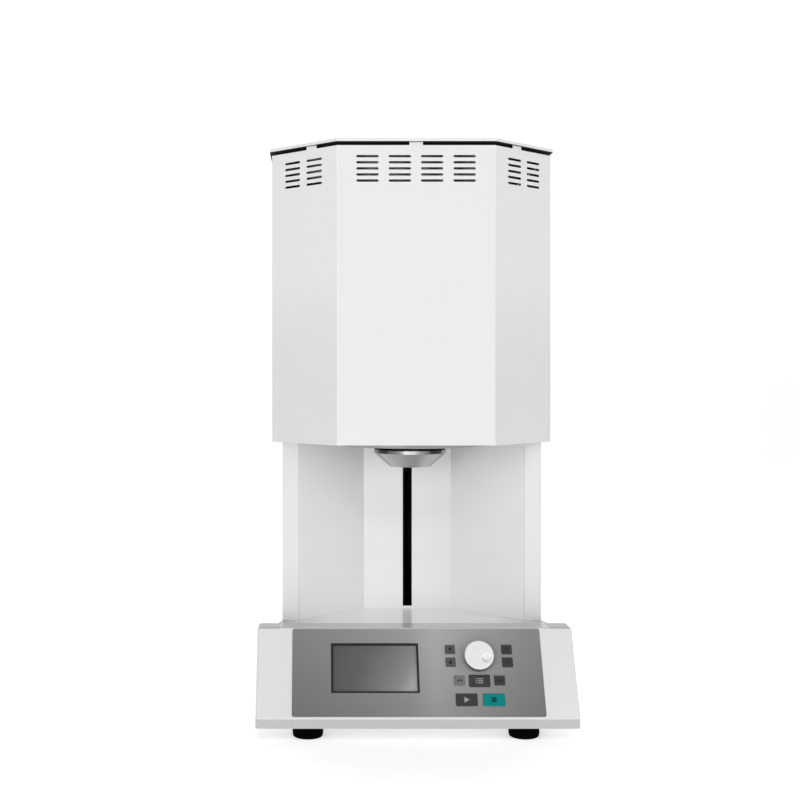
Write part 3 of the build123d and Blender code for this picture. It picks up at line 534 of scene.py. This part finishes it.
def inlet_material():
    # moulded black body with three bare metal pins inside the socket
    m = Mat("inlet_body", 0.45, 0.0, (0.015, 0.015, 0.016))
    p = m.xyz()
    pins = None
    for dx, dz in PINS:
        ax = m.math("ABSOLUTE", m.math("SUBTRACT", p, "X", (-118.0 + dx) * MM), 0)
        az = m.math("ABSOLUTE", m.math("SUBTRACT", p, "Z", (62.0 + dz) * MM), 0)
        one = m.math("MULTIPLY", m.step(ax, 0, 0.00125, 0.0011), 0, m.step(az, 0, 0.00225, 0.0021), 0)
        pins = one if pins is None else m.math("MAXIMUM", pins, 0, one, 0)
    inside = m.math("MULTIPLY", m.step(p, "Y", 0.1941, 0.1944), 0, m.step(p, "Y", 0.2112, 0.2108), 0)
    mask = m.math("MULTIPLY", pins, 0, inside, 0)
    nz = m.noise(22.0, 3, 0.55)
    body = m.mix(nz, "Fac", (0.013, 0.013, 0.014), (0.017, 0.017, 0.018))
    m.color(m.mix(mask, 0, (body, "Color"), (0.72, 0.70, 0.64)))
    m.link(mask, 0, m.b, "Metallic")
    g = m.noise(900.0, 2, 0.5)
    m.normal(m.bump(g, "Fac", 0.2, 0.00006, m.soft_edges(0.0004)))
    m.rough(m.spread(nz, "Fac", 0.38, 0.50))
    return m.m


NODES["power_inlet"].data.materials.clear()
NODES["power_inlet"].data.materials.append(inlet_material())

TONES = {"column_front": 0.875, "housing_shell": 0.80}
for name, shade in (("housing_shell", shell_shade), ("console_shell", console_shade), ("lid_plate", lid_shade),
                    ("column_front", column_shade), ("housing_rear_panel", rear_shade)):
    NODES[name].data.materials.clear()
    lid = name == "lid_plate"
    NODES[name].data.materials.append(white_paint(name + "_paint", tone=TONES.get(name, 0.825), coat=0.0 if lid else 0.35,
                                                  shade=shade, matt=lid_outside if lid else None))

# painted shade: inner parts seen through the lift slot and vents are coloured near black
inside_painted_shade = plastic("inside_painted_shade", (0.010, 0.010, 0.010), 0.6)
for name in ("lift_frame", "lead_screw", "guide_rods", "muffle_can"):
    NODES[name].data.materials.clear()
    NODES[name].data.materials.append(inside_painted_shade)


# ---------------------------------------------------------------------------
# Mesh helpers
# ---------------------------------------------------------------------------
def mesh_piece(name, bm, mat, body, smooth=True):
    me = bpy.data.meshes.new(name)
    bm.normal_update()
    bm.to_mesh(me)
    bm.free()
    ob = bpy.data.objects.new(name, me)
    scene.collection.objects.link(ob)
    me.materials.append(mat)
    if smooth:
        for p in me.polygons:
            p.use_smooth = True
    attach(ob, body)
    return ob


def face_pt(u, v, n=0.0):
    return FACE_O + (FACE_U * u + FACE_V * v + FACE_N * n) * MM


def face_prism(outline, n0, n1):
    # closed outline of (u, v) in mm, between two heights over the control face
    bm = bmesh.new()
    lo = [bm.verts.new(face_pt(u, v, n0)) for u, v in outline]
    hi = [bm.verts.new(face_pt(u, v, n1)) for u, v in outline]
    k = len(outline)
    for i in range(k):
        bm.faces.new((lo[i], lo[(i + 1) % k], hi[(i + 1) % k], hi[i]))
    bm.faces.new(hi)
    bm.faces.new(lo[::-1])
    bmesh.ops.recalc_face_normals(bm, faces=bm.faces)
    return bm


# ---------------------------------------------------------------------------
# Printed marks on the keys: plain generic signs
# ---------------------------------------------------------------------------
ink_dark = plastic("ink_dark", (0.016, 0.016, 0.017), 0.5, 1500.0, 0.1, spec=0.2)
ink_light = plastic("ink_light", (0.40, 0.40, 0.40), 0.5, 1500.0, 0.1, spec=0.2)
ink_teal = plastic("ink_teal", (0.0, 0.075, 0.085), 0.5, 1500.0, 0.1, spec=0.15)
KEY_AT = {"key_up_left": (43.7, 29.5), "key_down_left": (43.7, 13.1), "key_up_right": (115.6, 29.5),
          "key_down_right": (115.8, 12.9), "key_minus": (53.8, -10.3), "key_program": (79.0, -10.8),
          "key_plus": (104.2, -10.3), "key_start": (61.5, -34.7), "key_stop": (95.5, -34.7)}
KEY_TOP = 1.6


def rect(u, v, w, h):
    return [(u - w / 2, v - h / 2), (u + w / 2, v - h / 2), (u + w / 2, v + h / 2), (u - w / 2, v + h / 2)]


def disc(u, v, r, k=28):
    return [(u + r * math.cos(2 * math.pi * i / k), v + r * math.sin(2 * math.pi * i / k)) for i in range(k)]


def arc_band(r0, r1, a0, a1, k=20):
    pts = []
    for i in range(k + 1):
        a = math.radians(a0 + (a1 - a0) * i / k)
        pts.append((r1 * math.cos(a), r1 * math.sin(a)))
    for i in range(k + 1):
        a = math.radians(a1 + (a0 - a1) * i / k)
        pts.append((r0 * math.cos(a), r0 * math.sin(a)))
    return pts


def arc_head(r0, r1, deg, flare, length):
    # arrow head on the clockwise end of an arc band
    a = math.radians(deg)
    c, t = ((r0 + r1) / 2), (math.sin(a), -math.cos(a))
    lo, hi = r0 - flare, r1 + flare
    return [(lo * math.cos(a), lo * math.sin(a)), (c * math.cos(a) + t[0] * length, c * math.sin(a) + t[1] * length),
            (hi * math.cos(a), hi * math.sin(a))]


def flat_mark(name, shapes, mat, body, origin, eu, ev, en):
    # thin printed shapes standing a hair over a surface; shapes in mm along eu and ev
    bm = bmesh.new()
    for pts in shapes:
        lo = [bm.verts.new(origin + (eu * u + ev * v - en * 0.05) * MM) for u, v in pts]
        hi = [bm.verts.new(origin + (eu * u + ev * v + en * 0.035) * MM) for u, v in pts]
        n = len(pts)
        for i in range(n):
            bm.faces.new((lo[i], lo[(i + 1) % n], hi[(i + 1) % n], hi[i]))
        bm.faces.new(hi)
        bm.faces.new(lo[::-1])
    bmesh.ops.recalc_face_normals(bm, faces=bm.faces)
    bmesh.ops.triangulate(bm, faces=[f for f in bm.faces if len(f.verts) > 4])
    return mesh_piece(name, bm, mat, body, smooth=False)


def print_mark(key, shapes, mat):
    u0, v0 = KEY_AT[key]
    return flat_mark("mark_" + key, shapes, mat, key + "_body", face_pt(u0, v0, KEY_TOP), FACE_U, FACE_V, FACE_N)


arrow_up = [(-2.6, -0.1), (2.6, -0.1), (0.0, 3.3)]
stem_up = rect(0.0, -1.7, 1.5, 3.1)
print_mark("key_up_left", [arrow_up, stem_up], ink_dark)
print_mark("key_down_left", [[(-u, -v) for u, v in arrow_up], rect(0.0, 1.7, 1.5, 3.1)], ink_dark)
print_mark("key_up_right", [arc_band(1.8, 2.7, -40, 215), arc_head(1.8, 2.7, -40, 0.8, 1.9)], ink_dark)
print_mark("key_down_right", [rect(0.0, 0.0, 6.0, 1.3)], ink_dark)
print_mark("key_minus", [[(-3.4, 0.0), (-0.7, -1.9), (-0.7, 1.9)], [(0.2, 0.0), (2.9, -1.9), (2.9, 1.9)]], ink_dark)
print_mark("key_plus", [[(3.4, 0.0), (0.7, 1.9), (0.7, -1.9)], [(-0.2, 0.0), (-2.9, 1.9), (-2.9, -1.9)]], ink_dark)
print_mark("key_program", [rect(1.0, 2.6, 7.0, 1.2), rect(1.0, 0.0, 7.0, 1.2), rect(1.0, -2.6, 7.0, 1.2),
                           rect(-4.2, 2.6, 1.3, 1.3), rect(-4.2, 0.0, 1.3, 1.3), rect(-4.2, -2.6, 1.3, 1.3)], ink_light)
print_mark("key_start", [[(-3.0, -3.6), (3.6, 0.0), (-3.0, 3.6)]], ink_light)
print_mark("key_stop", [rect(0.0, 0.0, 6.2, 6.2)], ink_teal)


# on and off signs on the mains rocker, which stands tipped 10 degrees at rest
def rocker_spot(ry, rz):
    t = math.radians(-10.0)
    return Vector((-0.118, 0.204 + (ry * math.cos(t) - rz * math.sin(t)) * MM,
                   0.112 + (ry * math.sin(t) + rz * math.cos(t)) * MM))


for name, half, shapes in (("mark_rocker_on", 1.0, [rect(0.0, 0.0, 0.55, 2.6)]),
                           ("mark_rocker_off", -1.0, [arc_band(0.85, 1.35, 0, 180), arc_band(0.85, 1.35, 180, 360)])):
    inner, outer_ = rocker_spot(6.6, 0.0), rocker_spot(8.4, 5.9 * half)
    eu = Vector((-1, 0, 0))
    ev = (outer_ - inner).normalized() * half
    en = eu.cross(ev).normalized()
    if en.y < 0:
        en = -en
    flat_mark(name, shapes, ink_light, "rocker_body", (inner + outer_) / 2, eu, ev, en)


# ---------------------------------------------------------------------------
# Screws: a flat near-black cross, painted shade for the cross recess in every visible cover screw
# ---------------------------------------------------------------------------
recess_painted_shade = plastic("screw_recess", (0.02, 0.02, 0.02), 0.6, 1500.0, 0.1)


def cross_marks(name, spots, normal, arm, half=0.00042):
    nrm = Vector(normal)
    plus = [(arm, half), (half, half), (half, arm), (-half, arm), (-half, half), (-arm, half),
            (-arm, -half), (-half, -half), (-half, -arm), (half, -arm), (half, -half), (arm, -half)]
    bm = bmesh.new()
    for i, spot in enumerate(spots):
        turn = math.radians((37 * i + 11) % 90)
        a = Vector((1, 0, 0))
        b = nrm.cross(a).normalized()
        ex = a * math.cos(turn) + b * math.sin(turn)
        ey = nrm.cross(ex).normalized()
        lo = [bm.verts.new(Vector(spot) + ex * x + ey * y - nrm * 0.00008) for x, y in plus]
        hi = [bm.verts.new(Vector(spot) + ex * x + ey * y + nrm * 0.00006) for x, y in plus]
        for k in range(12):
            bm.faces.new((lo[k], lo[(k + 1) % 12], hi[(k + 1) % 12], hi[k]))
        bm.faces.new(hi)
        bm.faces.new(lo[::-1])
    bmesh.ops.recalc_face_normals(bm, faces=bm.faces)
    bmesh.ops.triangulate(bm, faces=[f for f in bm.faces if len(f.verts) > 4])
    return mesh_piece(name, bm, recess_painted_shade, "root", smooth=False)


back_spots = [(sx * 0.160, 0.21302, z) for sx in (-1, 1) for z in (0.032, 0.190, 0.352)]
back_spots += [(sx * 0.175, 0.21302, z) for sx in (-1, 1) for z in (0.385, 0.560, 0.735)]
cross_marks("screw_recesses_back", back_spots, (0, 1, 0), 0.0021)
cross_marks("screw_recesses_lid", [(sx * 0.150, y, 0.75702) for sx in (-1, 1) for y in (-0.060, 0.180)], (0, 0, 1), 0.0022)


# ---------------------------------------------------------------------------
# Lead screw with its four-start thread, 10 mm lead
# ---------------------------------------------------------------------------
def lead_screw_mesh():
    bm = bmesh.new()
    cx, cy = 0.0, 0.045
    seg = 40
    lead, starts = 10.0, 4

    def ring_at(z, fn):
        out = []
        for i in range(seg):
            a = 2 * math.pi * i / seg
            r = fn(a, z) * MM
            out.append(bm.verts.new((cx + r * math.cos(a), cy + r * math.sin(a), z * MM)))
        return out

    def thread(a, z):
        ph = (z / (lead / starts) - a * starts / (2 * math.pi)) % 1.0
        tri = abs(ph - 0.5) * 2.0
        return 5.1 + 0.88 * min(1.0, max(0.0, (tri - 0.25) / 0.5))

    stack = [(84.0, lambda a, z: 3.4), (84.6, lambda a, z: 4.0), (107.0, lambda a, z: 4.0), (107.0, lambda a, z: 5.0)]
    z = 107.6
    while z < 355.4:
        stack.append((z, thread))
        z += 0.5
    stack += [(356.0, lambda a, z: 5.0), (356.0, lambda a, z: 4.0), (365.4, lambda a, z: 4.0), (366.0, lambda a, z: 3.4)]
    rings = [ring_at(z, fn) for z, fn in stack]
    for a, b in zip(rings, rings[1:]):
        for i in range(seg):
            bm.faces.new((a[i], a[(i + 1) % seg], b[(i + 1) % seg], b[i]))
    bm.faces.new(rings[0][::-1])
    bm.faces.new(rings[-1])
    return bm


screw_steel = metal("screw_steel", (0.035, 0.035, 0.036), 0.4, (1, 1, 10), 400.0, 0.1)
thread_piece = mesh_piece("lead_screw_threaded", lead_screw_mesh(), screw_steel, "screw")
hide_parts("lead_screw")

# ---------------------------------------------------------------------------
# Stage and light
# ---------------------------------------------------------------------------
def stage_material():
    m = Mat("stage_white", 0.9, 0.0, (0.92, 0.92, 0.92))
    nz = m.noise(2.0, 2, 0.5)
    m.color(m.mix(nz, "Fac", (0.915, 0.915, 0.915), (0.925, 0.925, 0.925)))
    m.b.inputs["Specular IOR Level"].default_value = 0.1
    m.b.inputs["Emission Color"].default_value = (1, 1, 1, 1)
    m.b.inputs["Emission Strength"].default_value = 0.49
    return m.m


bm = bmesh.new()
profile = [(-4.0, 0.0), (2.2, 0.0)]
for i in range(1, 13):
    a = math.radians(90 * i / 12)
    profile.append((2.2 + 1.2 * math.sin(a), 1.2 - 1.2 * math.cos(a)))
profile.append((3.4, 4.5))
rows_ = []
for y, z in profile:
    rows_.append([bm.verts.new((x, y, z)) for x in (-6.0, 6.0)])
for a, b in zip(rows_, rows_[1:]):
    bm.faces.new((a[0], a[1], b[1], b[0]))
me = bpy.data.meshes.new("stage_sweep")
bm.to_mesh(me)
bm.free()
stage = bpy.data.objects.new("stage_sweep", me)
scene.collection.objects.link(stage)
me.materials.append(stage_material())
for p in me.polygons:
    p.use_smooth = True

world = bpy.data.worlds.new("studio")
scene.world = world
world.use_nodes = True
world.node_tree.nodes["Background"].inputs[0].default_value = (1.0, 1.0, 1.0, 1)
world.node_tree.nodes["Background"].inputs[1].default_value = 0.184


def area(name, loc, target, size, power, size_y=None):
    d = bpy.data.lights.new(name, "AREA")
    d.shape = "RECTANGLE"
    d.size = size
    d.size_y = size_y or size
    d.energy = power
    ob = bpy.data.objects.new(name, d)
    ob.location = loc
    ob.rotation_euler = (Vector(target) - Vector(loc)).to_track_quat("-Z", "Y").to_euler()
    scene.collection.objects.link(ob)
    return ob


area("high_left", (-1.2, -3.0, 2.3), (0, 0, 0.3), 1.0, 13.5, 0.8)
area("high_right", (1.2, -3.0, 2.3), (0, 0, 0.3), 1.0, 11.0, 0.8)
area("front_left", (-1.8, -2.9, 0.9), (0, 0, 0.4), 1.4, 30.3, 1.4)
area("front_right", (1.8, -2.9, 0.9), (0, 0, 0.4), 1.4, 1.8, 1.4)
area("side_right", (2.6, -1.6, 1.2), (0, 0, 0.4), 1.6, 20.3, 1.6)
area("top_rear", (0.0, 0.75, 2.5), (0.0, 0.05, 0.75), 1.2, 16.5)
